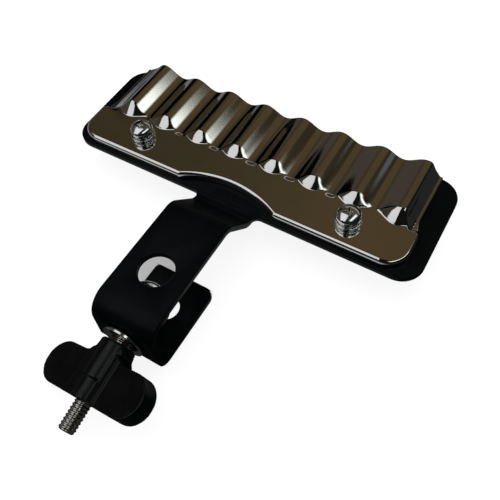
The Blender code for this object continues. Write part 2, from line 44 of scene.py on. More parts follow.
# Bracket
SHEET = 2.4 * MM
ARM_W = 25.4 * MM
RETURN_W = 26.6 * MM
RETURN_DX = -0.8 * MM
BASE_L = 154.7 * MM
BASE_D = 49.2 * MM
BASE_DX = -0.6 * MM
BASE_FRONT_R = 9.0 * MM
BASE_BACK_R = 9.5 * MM
BASE_Y = 42.2 * MM
ROOT_R = 2.5 * MM
RAMP_ROOM = 4.1 * MM
RAMP_BEND = 6.0 * MM
TOP_BEND = 7.3 * MM
BOTTOM_BEND = 3.8 * MM
WEB_REACH = 19.9 * MM
RETURN_REACH = 12.2 * MM
RETURN_RIGHT_R = 3.8 * MM
RETURN_LEFT_R = 1.8 * MM
ROD_R = 4.95 * MM
ROD_HOLE_R = 6.5 * MM
ROD_V_ANGLE = math.radians(140)
ROD_FIT = 0.2 * MM
ARM_Z = 12.0 * MM
EDGE_R = 0.35 * MM        # worn and painted-over sheet edges

# Scraper plate
PLATE_T = 0.9 * MM
PLATE_L = 145.4 * MM
PLATE_DX = -2.1 * MM
LIP_Y = 43.7 * MM
PLATE_REACH = 47.1 * MM
FLANGE_H = 3.6 * MM
LIP_R = 1.2 * MM
PLATE_CORNER_R = 8.5 * MM
CUT_W = 43.5 * MM
CUT_DEPTH = 5.8 * MM
CUT_DX = -1.6 * MM
RIDGES = 8
RIDGE_PITCH = 17.4 * MM
RIDGE_DX = -0.4 * MM
RIDGE_RISE = 3.3 * MM
RIDGE_BASE = 2.7 * MM
END_LIFT = 1.6 * MM
RIDGE_START = 16.6 * MM
RIDGE_RAMP = 5.0 * MM
FOOT_H = 1.5 * MM
RIGHT_HOLD = 1.3 * MM
SKIRT = ((0.0, 0.0), (0.08, 0.012), (0.16, 0.05), (0.25, 0.13), (0.55, 0.545), (0.78, 0.785), (1.0, 1.0))
LEFT_NARROW = 2.3 * MM
RIGHT_NARROW = 2.6 * MM
NOSE_CROWN = 0.6          # how much of a nose's height its sides fall
NOSE_KNEE = 0.8 * MM
NOSE_FILLET = 0.35 * MM
PIT_WALL = 0.6            # a pit's front wall, as a share of the ramp
COLUMNS_PER_RIDGE = 36
COLUMNS_PER_SIDE = 18
CORNER_ROWS = 9
NOSE_ROWS = 50
BACK_ROWS = 8
NOSE_BEFORE = 1.0 * MM
NOSE_AFTER = 8.0 * MM
LIP_STEPS = 8

# Screw stacks
SCREW_X = (-48.0 * MM, 45.6 * MM)
SCREW_D = 4.8 * MM
SCREW_LEN = 12.7 * MM
HEAD_D = 9.3 * MM
HEAD_H = 2.9 * MM
HEAD_RIM = 0.8 * MM
FLAT_D = 10.0 * MM
FLAT_T = 0.9 * MM
LOCK_D = 8.6 * MM
LOCK_T = 1.2 * MM
NUT_AF = 9.5 * MM
NUT_H = 3.2 * MM
FLAT_EDGE_R = 0.4 * MM
LOCK_EDGE_R = 0.5 * MM
LOCK_SPLIT = math.radians(200)
LOCK_SPLIT_W = math.radians(14)
LOCK_LEAN = 0.45 * MM
RECESS_WIDE = 1.9 * MM
RECESS_SLIM = 0.42 * MM
RECESS_DEEP = 1.5 * MM
RECESS_TURN = math.radians(25)
HEAD_EDGE = 0.2 * MM
SCREW_PITCH = 0.794 * MM
SCREW_THREAD = 0.5 * MM
SCREW_POINT = 0.6 * MM

# Clamp
BOLT_DROOP = math.radians(7.0)
BOLT_YAW = math.radians(2.0)
BOLT_DX = -0.6 * MM
BOLT_D = 6.0 * MM
BOLT_OUT = 33.4 * MM
BOLT_POINT = 0.8 * MM
THREAD_PITCH = 1.27 * MM
EYE_BORE_R = 6.35 * MM
EYE_WALL = 2.8 * MM
EYE_H = 6.0 * MM
EYE_EDGE = 1.1 * MM
EYE_Y = -9.95 * MM
BOLT_FIT = 0.95 * MM
WASHER_DX = 0.3 * MM
WASHER_D = 15.9 * MM
WASHER_T = 1.2 * MM
WASHER_Y = -23.2 * MM
HUB_D = 12.8 * MM
HUB_END_D = 11.4 * MM
HUB_LEN = 21.3 * MM
HUB_STEP = 13.3 * MM
WING_SPAN = 49.4 * MM
WING_T = 6.6 * MM
WING_SET = 5.8 * MM
WING_ROOT_R = 4.0 * MM
WING_TURN = math.radians(21.0)
RIB_HALF = 7.3 * MM
RIB_RISE = 0.7 * MM
RIB_Y = -4.9 * MM
INSERT_WALL = 0.9 * MM
INSERT_SHORT = 2.0 * MM
BOLT_NECK = 5.0 * MM
THREAD_DEPTH = 0.36 * MM
WASHER_EDGE_R = 0.3 * MM
VOXEL = 0.26 * MM

# Studio
FLOOR_R = 1.6
FLOOR_Z = -0.0165
# centre of the painted shade on the floor under the clamp
PAINTED_SHADE_AT = (-0.0155, 0.0115, 0)
FLAG_X = -0.30
FLAG_OUTLINE = ((0.15, 0.035), (0.335, 0.035), (0.345, 0.27), (0.25, 0.27), (0.235, 0.17), (0.15, 0.17))
COOL_WAY = (0.54, 0.66, 0.53)
WHITE = (1.0, 1.0, 1.0)
DARK = (0.006, 0.006, 0.006)
FLOOR_GREY = (0.28, 0.28, 0.28)
FILL_GREY = (0.55, 0.55, 0.55)
CEILING = ((0.047, 0.037, 0.020), (0.080, 0.056, 0.027), (0.034, 0.027, 0.015))
LOW_WALL = (0.060, 0.050, 0.040)
SKYLINE = ((0.17, 0.17, 0.20), (0.055, 0.012, 0.024))
FAR_GLOW = (0.34, 0.32, 0.31)
COOL_GLOW = (0.10, 0.11, 0.12)
FRONT_WINDOW = (0.80, 0.80, 0.83)
SIDE_WINDOW = (1.36, 1.45, 1.38)

# Places that follow from the sizes above
BASE_TOP = SHEET / 2
PLATE_FLOOR = BASE_TOP + GAP
PLATE_BACK = LIP_Y + PLATE_REACH
TIPS = LIP_Y + RIDGE_START
SCREW_AT_Y = TIPS - 1.2 * MM - FLAT_D / 2
FIRST_CREST = RIDGE_DX - (RIDGES - 1) * RIDGE_PITCH / 2
LAST_CREST = RIDGE_DX + (RIDGES - 1) * RIDGE_PITCH / 2
FLAT_EDGE = LIP_Y + LIP_R
FLAT_LEFT = PLATE_DX - PLATE_L / 2 + LIP_R
FLAT_RIGHT = PLATE_DX + PLATE_L / 2 - LIP_R
FLAT_CORNER = PLATE_CORNER_R - LIP_R
CUT_R = (CUT_W**2 / 4 + CUT_DEPTH**2) / (2 * CUT_DEPTH)
CLEAR_R = SCREW_D / 2 + GAP
WEB_Y = -WEB_REACH - SHEET / 2
TILT = math.sin(math.hypot(BOLT_DROOP, BOLT_YAW))


# Mesh helpers

def make_object(name, bm, mat=None):
    bmesh.ops.recalc_face_normals(bm, faces=bm.faces)
    mesh = bpy.data.meshes.new(name)
    bm.to_mesh(mesh)
    bm.free()
    obj = bpy.data.objects.new(name, mesh)
    bpy.context.scene.collection.objects.link(obj)
    if mat:
        mesh.materials.append(mat)
    return obj


def bake(obj):
    """Puts the modifiers' result into the object's own mesh."""
    bpy.context.view_layer.update()
    graph = bpy.context.evaluated_depsgraph_get()
    done = obj.evaluated_get(graph)
    mesh = bpy.data.meshes.new_from_object(done, preserve_all_data_layers=True, depsgraph=graph)
    obj.modifiers.clear()
    obj.data = mesh
    return obj


def cut(obj, other, operation="DIFFERENCE"):
    mod = obj.modifiers.new("cut", "BOOLEAN")
    mod.operation = operation
    mod.solver = "EXACT"
    mod.object = other
    bake(obj)
    bpy.data.objects.remove(other)


def round_edges(obj, width, segments=3, degrees=40):
    mod = obj.modifiers.new("edge", "BEVEL")
    mod.width = width
    mod.segments = segments
    mod.limit_method = "ANGLE"
    mod.angle_limit = math.radians(degrees)
    mod.use_clamp_overlap = False
    bake(obj)


def shade(obj, degrees=35):
    obj.data.shade_smooth()
    obj.data.set_sharp_from_angle(angle=math.radians(degrees))


def place(obj, matrix):
    obj.data.transform(matrix)
    return obj


def finish_piece(obj, body, node):
    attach(obj, body)
    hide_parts(node)


def turned(profile, steps):
    """A closed solid turned about Z from (radius, height) points."""
    bm = bmesh.new()
    rings = []
    for radius, height in profile:
        if radius == 0:
            rings.append([bm.verts.new((0, 0, height))] * steps)
            continue
        angles = [2 * math.pi * k / steps for k in range(steps)]
        rings.append([bm.verts.new((radius * math.cos(a), radius * math.sin(a), height)) for a in angles])
    closed = profile[0][0] > 0
    pairs = list(zip(rings, rings[1:])) + ([(rings[-1], rings[0])] if closed else [])
    for low, high in pairs:
        for k in range(steps):
            quad = [low[k], low[(k + 1) % steps], high[(k + 1) % steps], high[k]]
            corners = list(dict.fromkeys(quad))
            if len(corners) > 2:
                bm.faces.new(corners)
    return bm


def cylinder(radius, low, high, steps):
    return turned([(0, low), (radius, low), (radius, high), (0, high)], steps)


def prism(outline, low, high):
    bm = bmesh.new()
    face = bm.faces.new([bm.verts.new((x, y, low)) for x, y in outline])
    made = bmesh.ops.extrude_face_region(bm, geom=[face])
    tops = [v for v in made["geom"] if isinstance(v, bmesh.types.BMVert)]
    bmesh.ops.translate(bm, verts=tops, vec=(0, 0, high - low))
    return bm


def arc(centre, radius, start, end, steps):
    angles = [math.radians(start + (end - start) * k / steps) for k in range(steps + 1)]
    return [(centre[0] + radius * math.cos(a), centre[1] + radius * math.sin(a)) for a in angles]


def moved(bm, matrix):
    bmesh.ops.transform(bm, matrix=matrix, verts=bm.verts)
    return bm


def smooth(t):
    t = min(max(t, 0.0), 1.0)
    return t * t * (3 - 2 * t)


ON_BOLT = Matrix.Rotation(math.pi / 2, 4, "X")
BOLT_AXIS = (Matrix.Translation((BOLT_DX, WASHER_Y, 0)) @ Matrix.Rotation(BOLT_YAW, 4, "Z")
             @ Matrix.Rotation(BOLT_DROOP, 4, "X"))


# Node helpers

def socket(tree, name, way, kind, value=None):
    made = tree.interface.new_socket(name=name, in_out=way, socket_type=kind)
    if value is not None:
        made.default_value = value
    return made


def node(tree, kind, **values):
    made = tree.nodes.new(kind)
    for key, value in values.items():
        setattr(made, key, value)
    return made


def feed(tree, target, value):
    if hasattr(value, "is_linked") or hasattr(value, "links"):
        tree.links.new(value, target)
    else:
        target.default_value = value


def sum_of(tree, operation, *values, clamp=False):
    made = node(tree, "ShaderNodeMath", operation=operation, use_clamp=clamp)
    for slot_in, value in zip(made.inputs, values):
        feed(tree, slot_in, value)
    return made.outputs[0]


def range_of(tree, value, start, end, low=0.0, high=1.0, kind="SMOOTHSTEP"):
    """Step from low to high as the value goes from start to end."""
    made = node(tree, "ShaderNodeMapRange", interpolation_type=kind)
    tree.links.new(value, made.inputs["Value"])
    for name, limit in (("From Min", start), ("From Max", end), ("To Min", low), ("To Max", high)):
        feed(tree, made.inputs[name], limit)
    return made.outputs[0]


def noise(tree, vector, scale, detail):
    made = node(tree, "ShaderNodeTexNoise")
    made.inputs["Detail"].default_value = detail
    tree.links.new(vector, made.inputs["Vector"])
    tree.links.new(scale, made.inputs["Scale"])
    return made.outputs["Fac"]


def parts_of(tree, vector):
    made = node(tree, "ShaderNodeSeparateXYZ")
    tree.links.new(vector, made.inputs[0])
    return made.outputs


# Geometry Nodes: the pressed ridges, and a rolled thread

def finish_tree(tree, geometry, material):
    """Ends a tree with real geometry that has its material."""
    real = node(tree, "GeometryNodeRealizeInstances")
    paint = node(tree, "GeometryNodeSetMaterial")
    tree.links.new(geometry, real.inputs[0])
    tree.links.new(real.outputs[0], paint.inputs["Geometry"])
    tree.links.new(material, paint.inputs["Material"])
    tree.links.new(paint.outputs[0], node(tree, "NodeGroupOutput").inputs[0])
    return tree


def ridge_tree():
    tree = bpy.data.node_groups.new("Pressed ridges", "GeometryNodeTree")
    socket(tree, "Geometry", "INPUT", "NodeSocketGeometry")
    for name, value in (("Pitch", RIDGE_PITCH), ("First Crest", FIRST_CREST), ("Last Crest", LAST_CREST),
                        ("Rise", RIDGE_RISE), ("Trough Height", RIDGE_BASE), ("End Lift", END_LIFT),
                        ("Tips", TIPS), ("Ramp", RIDGE_RAMP), ("Flange Height", FLANGE_H),
                        ("Foot Height", FOOT_H), ("Crown", NOSE_CROWN), ("Knee", NOSE_KNEE),
                        ("Fillet", NOSE_FILLET), ("Pit Wall", PIT_WALL)):
        socket(tree, name, "INPUT", "NodeSocketFloat", value)
    socket(tree, "Material", "INPUT", "NodeSocketMaterial")
    socket(tree, "Geometry", "OUTPUT", "NodeSocketGeometry")
    size = node(tree, "NodeGroupInput").outputs
    x, y, _ = parts_of(tree, node(tree, "GeometryNodeInputPosition").outputs[0])
    side = node(tree, "GeometryNodeInputNamedAttribute", data_type="FLOAT")
    side.inputs["Name"].default_value = "side_share"
    lip = node(tree, "GeometryNodeInputNamedAttribute", data_type="FLOAT")
    lip.inputs["Name"].default_value = "lip_share"
    side, lip = side.outputs[0], lip.outputs[0]

    half = sum_of(tree, "MULTIPLY", size["Rise"], 0.5)
    middle = sum_of(tree, "ADD", size["Trough Height"], half)
    turns = sum_of(tree, "DIVIDE", sum_of(tree, "SUBTRACT", x, size["First Crest"]), size["Pitch"])
    wave = sum_of(tree, "COSINE", sum_of(tree, "MULTIPLY", turns, 2 * math.pi))
    centre = sum_of(tree, "MULTIPLY", sum_of(tree, "ADD", size["First Crest"], size["Last Crest"]), 0.5)
    reach = sum_of(tree, "MULTIPLY", sum_of(tree, "SUBTRACT", size["Last Crest"], size["First Crest"]), 0.5)
    out = sum_of(tree, "ABSOLUTE", sum_of(tree, "DIVIDE", sum_of(tree, "SUBTRACT", x, centre), reach))
    bow = sum_of(tree, "MULTIPLY", sum_of(tree, "POWER", out, 4.0), size["End Lift"])
    inner = sum_of(tree, "ADD", sum_of(tree, "ADD", middle, bow), sum_of(tree, "MULTIPLY", wave, half))
    crest = sum_of(tree, "ADD", sum_of(tree, "ADD", middle, half), size["End Lift"])
    skirt = node(tree, "ShaderNodeFloatCurve")
    tree.links.new(side, skirt.inputs["Value"])
    for point in SKIRT[1:-1]:
        skirt.mapping.curves[0].points.new(*point)
    skirt.mapping.update()
    drop = sum_of(tree, "MULTIPLY", sum_of(tree, "SUBTRACT", crest, size["Foot Height"]), skirt.outputs[0])
    outer = sum_of(tree, "SUBTRACT", crest, drop)
    pick = node(tree, "GeometryNodeSwitch", input_type="FLOAT")
    beyond = sum_of(tree, "GREATER_THAN", side, 0.0)
    tree.links.new(beyond, pick.inputs["Switch"])
    tree.links.new(inner, pick.inputs["False"])
    tree.links.new(outer, pick.inputs["True"])
    press = sum_of(tree, "SUBTRACT", pick.outputs[0], size["Flange Height"])
    ahead = sum_of(tree, "SUBTRACT", y, size["Tips"])
    # a pit fills in where the wave is under the flange
    pit_run = sum_of(tree, "MULTIPLY", size["Ramp"], size["Pit Wall"])
    along = sum_of(tree, "DIVIDE", ahead, pit_run, clamp=True)
    wall = range_of(tree, along, 0.0, 1.0)
    pit = sum_of(tree, "MULTIPLY", sum_of(tree, "MINIMUM", press, 0.0), wall)
    wave_press = sum_of(tree, "ADD", sum_of(tree, "MAXIMUM", press, 0.0), pit)
    # a nose slopes up to the crest and is crowned across
    tall = sum_of(tree, "MINIMUM", sum_of(tree, "ADD", middle, sum_of(tree, "ADD", bow, half)), crest)
    tall = sum_of(tree, "SUBTRACT", tall, size["Flange Height"])
    rise = sum_of(tree, "MULTIPLY", sum_of(tree, "DIVIDE", ahead, size["Ramp"]), tall)
    off_crest = sum_of(tree, "MULTIPLY", sum_of(tree, "SUBTRACT", 1.0, wave), 0.5)
    crown = sum_of(tree, "MULTIPLY", off_crest, sum_of(tree, "MULTIPLY", tall, size["Crown"]))
    facet = sum_of(tree, "SUBTRACT", rise, crown)
    press = sum_of(tree, "SMOOTH_MIN", wave_press, facet, size["Knee"])
    begun = range_of(tree, facet, 0.0, size["Fillet"])
    raised = sum_of(tree, "MULTIPLY", press, begun)
    pressed_in = sum_of(tree, "MULTIPLY", pit, sum_of(tree, "SUBTRACT", 1.0, begun))
    press = sum_of(tree, "MULTIPLY", sum_of(tree, "ADD", raised, pressed_in), lip)
    lift = node(tree, "ShaderNodeCombineXYZ")
    tree.links.new(press, lift.inputs[2])
    shift = node(tree, "GeometryNodeSetPosition")
    tree.links.new(size["Geometry"], shift.inputs["Geometry"])
    tree.links.new(lift.outputs[0], shift.inputs["Offset"])
    return finish_tree(tree, shift.outputs[0], size["Material"])


def thread_tree():
    tree = bpy.data.node_groups.new("Rolled thread", "GeometryNodeTree")
    socket(tree, "Geometry", "INPUT", "NodeSocketGeometry")
    for name, value in (("Radius", 0.003), ("Depth", 0.0006), ("Pitch", 0.00127), ("Length", 0.02),
                        ("Plain Length", 0.0), ("Point", 0.0008)):
        socket(tree, name, "INPUT", "NodeSocketFloat", value)
    socket(tree, "Around", "INPUT", "NodeSocketInt", 48)
    socket(tree, "Along", "INPUT", "NodeSocketInt", 200)
    socket(tree, "Material", "INPUT", "NodeSocketMaterial")
    socket(tree, "Geometry", "OUTPUT", "NodeSocketGeometry")
    size = node(tree, "NodeGroupInput").outputs
    grid = node(tree, "GeometryNodeMeshGrid")
    grid.inputs["Size X"].default_value = 1.0
    grid.inputs["Size Y"].default_value = 1.0
    tree.links.new(size["Around"], grid.inputs["Vertices X"])
    tree.links.new(size["Along"], grid.inputs["Vertices Y"])
    across, along, _ = parts_of(tree, node(tree, "GeometryNodeInputPosition").outputs[0])
    u = sum_of(tree, "ADD", across, 0.5)
    v = sum_of(tree, "ADD", along, 0.5)
    z = sum_of(tree, "MULTIPLY", v, size["Length"])
    turns = sum_of(tree, "SUBTRACT", sum_of(tree, "DIVIDE", z, size["Pitch"]), u)
    flank = sum_of(tree, "COSINE", sum_of(tree, "MULTIPLY", turns, 2 * math.pi))
    flank = sum_of(tree, "MULTIPLY", sum_of(tree, "ADD", flank, 1.0), 0.5)
    # the thread deepens over the first 1.1 mm
    started = sum_of(tree, "MULTIPLY", sum_of(tree, "SUBTRACT", z, size["Plain Length"]), 900.0, clamp=True)
    cut_in = sum_of(tree, "MULTIPLY", sum_of(tree, "MULTIPLY", flank, started), size["Depth"])
    radius = sum_of(tree, "SUBTRACT", size["Radius"], cut_in)
    left = sum_of(tree, "SUBTRACT", size["Length"], z)
    point = sum_of(tree, "ADD", sum_of(tree, "SUBTRACT", size["Radius"], size["Point"]), left)
    radius = sum_of(tree, "MINIMUM", radius, point)
    # both ends close on the axis
    radius = sum_of(tree, "MULTIPLY", radius, sum_of(tree, "GREATER_THAN", v, 0.0001))
    radius = sum_of(tree, "MULTIPLY", radius, sum_of(tree, "LESS_THAN", v, 0.9999))
    angle = sum_of(tree, "MULTIPLY", u, 2 * math.pi)
    spot = node(tree, "ShaderNodeCombineXYZ")
    tree.links.new(sum_of(tree, "MULTIPLY", radius, sum_of(tree, "COSINE", angle)), spot.inputs[0])
    tree.links.new(sum_of(tree, "MULTIPLY", radius, sum_of(tree, "SINE", angle)), spot.inputs[1])
    tree.links.new(z, spot.inputs[2])
    shift = node(tree, "GeometryNodeSetPosition")
    tree.links.new(grid.outputs["Mesh"], shift.inputs["Geometry"])
    tree.links.new(spot.outputs[0], shift.inputs["Position"])
    weld = node(tree, "GeometryNodeMergeByDistance")
    weld.inputs["Distance"].default_value = 1e-6
    tree.links.new(shift.outputs[0], weld.inputs["Geometry"])
    return finish_tree(tree, weld.outputs[0], size["Material"])


def grow(obj, tree, **values):
    """Runs a tree on the object with named inputs and keeps the result as its mesh."""
    mod = obj.modifiers.new(tree.name, "NODES")
    mod.node_group = tree
    for item in tree.interface.items_tree:
        if item.item_type == "SOCKET" and item.in_out == "INPUT" and item.name in values:
            mod[item.identifier] = values[item.name]
    return bake(obj)


# Material groups and materials

def grain_group():
    """Height of a fine orange-peel grain over long shallow waves."""
    tree = bpy.data.node_groups.new("Surface grain", "ShaderNodeTree")
    socket(tree, "Vector", "INPUT", "NodeSocketVector")
    for name, value in (("Grain Scale", 1000.0), ("Wave Scale", 60.0), ("Wave Share", 0.5)):
        socket(tree, name, "INPUT", "NodeSocketFloat", value)
    socket(tree, "Height", "OUTPUT", "NodeSocketFloat")
    given = node(tree, "NodeGroupInput").outputs
    fine = noise(tree, given["Vector"], given["Grain Scale"], 2.0)
    wide = noise(tree, given["Vector"], given["Wave Scale"], 1.0)
    blend = node(tree, "ShaderNodeMix", data_type="FLOAT")
    tree.links.new(given["Wave Share"], blend.inputs["Factor"])
    tree.links.new(fine, blend.inputs["A"])
    tree.links.new(wide, blend.inputs["B"])
    tree.links.new(blend.outputs["Result"], node(tree, "NodeGroupOutput").inputs[0])
    return tree


def marks_group():
    """Mask of cloudy smudges and fine hairline rubs."""
    tree = bpy.data.node_groups.new("Handling marks", "ShaderNodeTree")
    socket(tree, "Vector", "INPUT", "NodeSocketVector")
    for name, value in (("Cloud Scale", 90.0), ("Hair Scale", 2500.0), ("Hairs", 0.4)):
        socket(tree, name, "INPUT", "NodeSocketFloat", value)
    socket(tree, "Mask", "OUTPUT", "NodeSocketFloat")
    given = node(tree, "NodeGroupInput").outputs
    cloud = noise(tree, given["Vector"], given["Cloud Scale"], 5.0)
    stretch = node(tree, "ShaderNodeVectorMath", operation="MULTIPLY")
    stretch.inputs[1].default_value = (1.0, 0.06, 1.0)
    tree.links.new(given["Vector"], stretch.inputs[0])
    hair = noise(tree, stretch.outputs[0], given["Hair Scale"], 2.0)
    soft = range_of(tree, cloud, 0.4, 0.75, kind="LINEAR")
    thin = range_of(tree, hair, 0.55, 0.8, kind="LINEAR")
    both = sum_of(tree, "ADD", soft, sum_of(tree, "MULTIPLY", thin, given["Hairs"]), clamp=True)
    tree.links.new(both, node(tree, "NodeGroupOutput").inputs[0])
    return tree


GRAIN = grain_group()
MARKS = marks_group()


def surface(name, colour, marked, roughness, metallic, grain, relief, marks, **extra):
    """A material whose colour and roughness shift where it is marked, with a fine relief.

    roughness: clean and marked. grain: grain scale, wave scale, wave share. relief: strength, distance.
    marks: cloud scale, hair scale, share of hairs.
    """
    mat = bpy.data.materials.new(name)
    mat.use_nodes = True
    tree = mat.node_tree
    shader = tree.nodes["Principled BSDF"]
    shader.inputs["Metallic"].default_value = metallic
    for key, value in extra.items():
        shader.inputs[key.replace("_", " ")].default_value = value
    where = node(tree, "ShaderNodeTexCoord").outputs["Object"]
    mark = node(tree, "ShaderNodeGroup", node_tree=MARKS)
    tree.links.new(where, mark.inputs["Vector"])
    for key, value in zip(("Cloud Scale", "Hair Scale", "Hairs"), marks):
        mark.inputs[key].default_value = value
    tint = node(tree, "ShaderNodeMix", data_type="RGBA")
    tree.links.new(mark.outputs["Mask"], tint.inputs["Factor"])
    tint.inputs["A"].default_value = (*colour, 1)
    tint.inputs["B"].default_value = (*marked, 1)
    tree.links.new(tint.outputs["Result"], shader.inputs["Base Color"])
    rough = node(tree, "ShaderNodeMix", data_type="FLOAT")
    tree.links.new(mark.outputs["Mask"], rough.inputs["Factor"])
    rough.inputs["A"].default_value, rough.inputs["B"].default_value = roughness
    tree.links.new(rough.outputs["Result"], shader.inputs["Roughness"])
    skin = node(tree, "ShaderNodeGroup", node_tree=GRAIN)
    tree.links.new(where, skin.inputs["Vector"])
    for key, value in zip(("Grain Scale", "Wave Scale", "Wave Share"), grain):
        skin.inputs[key].default_value = value
    bump = node(tree, "ShaderNodeBump")
    bump.inputs["Strength"].default_value, bump.inputs["Distance"].default_value = relief
    tree.links.new(skin.outputs["Height"], bump.inputs["Height"])
    tree.links.new(bump.outputs["Normal"], shader.inputs["Normal"])
    return mat


paint = surface("satin black paint", (0.0005, 0.0012, 0.0017), (0.0010, 0.0018, 0.0023), (0.36, 0.46), 0.0,
                (1300.0, 120.0, 0.3), (0.25, 0.0002), (120.0, 1800.0, 0.2), Specular_IOR_Level=0.11)
chrome = surface("mirror chrome", (0.80, 0.79, 0.76), (0.74, 0.73, 0.70), (0.03, 0.07), 1.0,
                 (3000.0, 60.0, 0.1), (1.0, 0.000008), (90.0, 2500.0, 0.4))
zinc = surface("bright plated steel", (0.86, 0.88, 0.86), (0.74, 0.76, 0.74), (0.12, 0.20), 1.0,
               (1500.0, 200.0, 0.3), (0.03, 0.0001), (300.0, 3500.0, 0.5))
nickel = surface("nickel plated bolt", (0.88, 0.86, 0.82), (0.50, 0.48, 0.44), (0.17, 0.28), 1.0,
                 (1800.0, 250.0, 0.3), (0.10, 0.0001), (350.0, 3500.0, 0.5))
brass = surface("plated insert", (0.45, 0.44, 0.40), (0.3, 0.29, 0.26), (0.3, 0.45), 1.0,
                (1800.0, 250.0, 0.3), (0.10, 0.0001), (350.0, 3500.0, 0.5))
plastic = surface("black moulded plastic", (0.0004, 0.0009, 0.0014), (0.0008, 0.0014, 0.0019), (0.26, 0.36),
                  0.0, (1500.0, 150.0, 0.4), (0.18, 0.0002), (150.0, 2200.0, 0.3), Specular_IOR_Level=0.30)


# Bracket

def rounded_path(corners, radii, steps):
    """Points along a bent path of (y, z) corners, as (length so far, point, direction)."""
    points = []
    for k, corner in enumerate(corners):
        here = Vector(corner)
        if k in (0, len(corners) - 1):
            other = Vector(corners[1 if k == 0 else k - 1])
            way = (other - here if k == 0 else here - other).normalized()
            points.append((here, way))
            continue
        before = (here - Vector(corners[k - 1])).normalized()
        after = (Vector(corners[k + 1]) - here).normalized()
        turn = before.angle_signed(after)
        radius = radii[k - 1]
        start = here - before * radius * math.tan(abs(turn) / 2)
        for step in range(steps + 1):
            a = turn * step / steps
            side = Vector((before.y, -before.x)) * math.copysign(1, turn)
            way = before * math.cos(a) + side * math.sin(abs(a))
            spot = start + before * radius * math.sin(abs(a)) + side * radius * (1 - math.cos(a))
            points.append((spot, way.normalized()))
    lengths = [0.0]
    for (a, _), (b, _) in zip(points, points[1:]):
        lengths.append(lengths[-1] + (b - a).length)
    return [(s, spot, way) for s, (spot, way) in zip(lengths, points)]


def along_path(path, s):
    for (s0, p0, d0), (s1, p1, d1) in zip(path, path[1:]):
        if s <= s1:
            t = (s - s0) / (s1 - s0) if s1 > s0 else 0.0
            return p0.lerp(p1, t), d0.lerp(d1, t).normalized()
    return path[-1][1], path[-1][2]


def corner_cut(radius, left_over):
    if left_over >= radius:
        return 0.0
    return radius - math.sqrt(max(radius**2 - (radius - left_over) ** 2, 0))


def strip_edges(path, s):
    end = path[-1][0]
    spot, _ = along_path(path, s)
    grow_by = smooth((ARM_Z / 2 - spot.y) / ARM_Z) if s > end / 2 else 0.0
    half = (ARM_W + (RETURN_W - ARM_W) * grow_by) / 2 + corner_cut(ROOT_R, s)
    left = RETURN_DX * grow_by - half + corner_cut(RETURN_LEFT_R, end - s)
    right = RETURN_DX * grow_by + half - corner_cut(RETURN_RIGHT_R, end - s)
    return left, right


def make_bracket():
    corners = [(BASE_Y, 0), (BASE_Y - RAMP_ROOM, 0), (BASE_Y - RAMP_ROOM - ARM_Z, ARM_Z), (WEB_Y, ARM_Z),
               (WEB_Y, -ARM_Z), (RETURN_REACH, -ARM_Z)]
    path = rounded_path(corners, [RAMP_BEND, RAMP_BEND, TOP_BEND, BOTTOM_BEND], 14)
    end = path[-1][0]
    lengths = [s for s, _, _ in path]
    lengths += [ROOT_R * (1 - math.cos(math.radians(a))) for a in range(0, 91, 10)]
    for radius in (RETURN_LEFT_R, RETURN_RIGHT_R):
        lengths += [end - radius * (1 - math.sin(math.radians(a))) for a in range(0, 82, 9)]
    lengths = sorted(set(round(s, 7) for s in lengths))
    bm = bmesh.new()
    rows = []
    for s in lengths:
        spot, way = along_path(path, s)
        out = Vector((way.y, -way.x)) * SHEET / 2
        left, right = strip_edges(path, s)
        row = [(left, 1), (right, 1), (right, -1), (left, -1)]
        rows.append([bm.verts.new((x, spot.x + side * out.x, spot.y + side * out.y)) for x, side in row])
    for a, b in zip(rows, rows[1:]):
        for k in range(4):
            bm.faces.new([a[k], a[(k + 1) % 4], b[(k + 1) % 4], b[k]])
    bm.faces.new(rows[-1])
    left, right = BASE_DX - BASE_L / 2, BASE_DX + BASE_L / 2
    back = BASE_Y + BASE_D
    outline = arc((right - BASE_FRONT_R, BASE_Y + BASE_FRONT_R), BASE_FRONT_R, -90, 0, 16)
    outline += arc((right - BASE_BACK_R, back - BASE_BACK_R), BASE_BACK_R, 0, 90, 16)
    outline += arc((left + BASE_BACK_R, back - BASE_BACK_R), BASE_BACK_R, 90, 180, 16)
    outline += arc((left + BASE_FRONT_R, BASE_Y + BASE_FRONT_R), BASE_FRONT_R, 180, 270, 16)
    root = rows[0]
    high = [root[1]] + [bm.verts.new((x, y, SHEET / 2)) for x, y in outline] + [root[0]]
    low = [root[2]] + [bm.verts.new((x, y, -SHEET / 2)) for x, y in outline] + [root[3]]
    bm.faces.new(high)
    bm.faces.new(list(reversed(low)))
    for a, b, c, d in zip(high, high[1:], low[1:], low):
        bm.faces.new([a, b, c, d])
    bracket = make_object("clamp_bracket", bm, paint)
    spread = ROD_V_ANGLE / 2
    around = math.degrees(spread)
    notch = arc((0, 0), ROD_HOLE_R, -around, 180 + around, 60)
    notch.append((0, -ROD_HOLE_R / math.sin(spread)))
    cut(bracket, make_object("rod_cutter", prism(notch, ARM_Z - SHEET, ARM_Z + SHEET)))
    rod_y = (ROD_R - ROD_FIT - ROD_HOLE_R) / math.sin(spread)
    leg = cylinder(ROD_R, -SHEET, SHEET, 64)
    cut(bracket, make_object("leg_cutter", moved(leg, Matrix.Translation((0, rod_y, -ARM_Z)))))
    web = cylinder(BOLT_D / 2 + BOLT_FIT, -SHEET, SHEET, 48)
    cut(bracket, make_object("web_cutter", moved(web, Matrix.Translation((BOLT_DX, WEB_Y, 0)) @ ON_BOLT)))
    for x in SCREW_X:
        hole = cylinder(CLEAR_R, -SHEET, SHEET, 40)
        cut(bracket, make_object("base_cutter", moved(hole, Matrix.Translation((x, SCREW_AT_Y, 0)))))
    round_edges(bracket, EDGE_R, 3, 50)
    shade(bracket, 28)
    finish_piece(bracket, "frame", "bracket")


# Scraper plate

